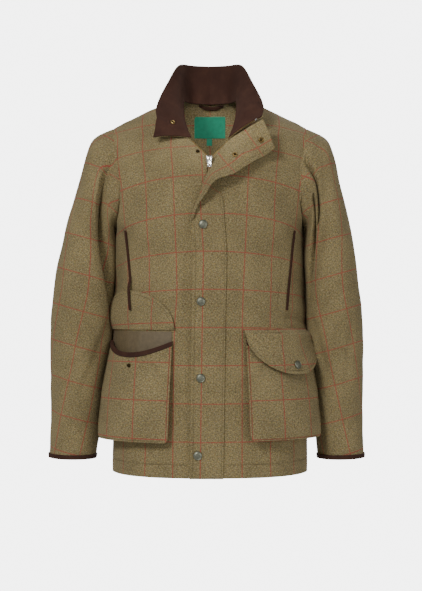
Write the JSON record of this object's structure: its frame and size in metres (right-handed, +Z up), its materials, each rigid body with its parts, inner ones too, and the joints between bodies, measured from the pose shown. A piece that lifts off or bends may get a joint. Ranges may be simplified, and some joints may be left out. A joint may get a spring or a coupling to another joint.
{
  "type": "tweed jacket",
  "caption": "Hip-length tweed country jacket, filled out as worn, with open standing collar, zip under a part turned-back storm flap, hand pockets and bellows pockets.",
  "frame": {"origin": "inside the jacket between the shoulders, at the height of the neck seam, where the wearer carries it", "axes": "+Z up, towards the collar; -Y the front of the jacket; +X the wearer's left"},
  "size_m": [0.6662, 0.3225, 0.8623],
  "materials": {
    "tweed": "flecked olive-brown wool tweed with thin red windowpane lines",
    "brown_moleskin": "dark brown brushed moleskin",
    "nylon_lining": "smooth grey-brown nylon",
    "woven_label": "bare woven green satin",
    "zip_tape": "woven tan tape",
    "snap_metal": "grey-green gunmetal satin",
    "brass": "dull antique brass",
    "zip_metal": "polished nickel"
  },
  "bodies": {
    "jacket": {"front_right": "tweed", "front_left": "tweed", "back": "tweed", "sleeve_right": "tweed", "sleeve_left": "tweed", "collar_outer": "tweed", "storm_flap": "tweed", "pocket_right_panel": "tweed", "pocket_right_gusset": "tweed", "pocket_right_flap": "tweed", "pocket_left_panel": "tweed", "pocket_left_gusset": "tweed", "pocket_left_flap": "tweed", "collar_facing": "brown_moleskin", "hand_pocket_binding_right": "brown_moleskin", "hand_pocket_binding_left": "brown_moleskin", "pocket_right_binding": "brown_moleskin", "pocket_left_binding": "brown_moleskin", "cuff_binding_right": "brown_moleskin", "cuff_binding_left": "brown_moleskin", "hanging_loop": "brown_moleskin", "pocket_right_lining": "nylon_lining", "neck_label": "woven_label", "size_tab": "woven_label", "zip_tape_right": "zip_tape", "zip_tape_left": "zip_tape", "flap_snap_1": "snap_metal", "flap_snap_2": "snap_metal", "flap_snap_3": "snap_metal", "flap_snap_4": "snap_metal", "pocket_left_snap": "snap_metal", "flap_ring_1": "brass", "flap_ring_2": "brass", "collar_ring": "brass", "front_stud": "brass", "pocket_right_stud": "brass", "zip_slider": "zip_metal"},
    "zip_pull": {"zip_pull": "zip_metal"}
  },
  "joints": [
    {"name": "zip_pull_swing", "type": "hinge", "parent": "jacket", "child": "zip_pull", "pos_m": [-0.0012, -0.15012, -0.141], "axis": [-1, 0, 0], "range_deg": [0, 150]}
  ]
}
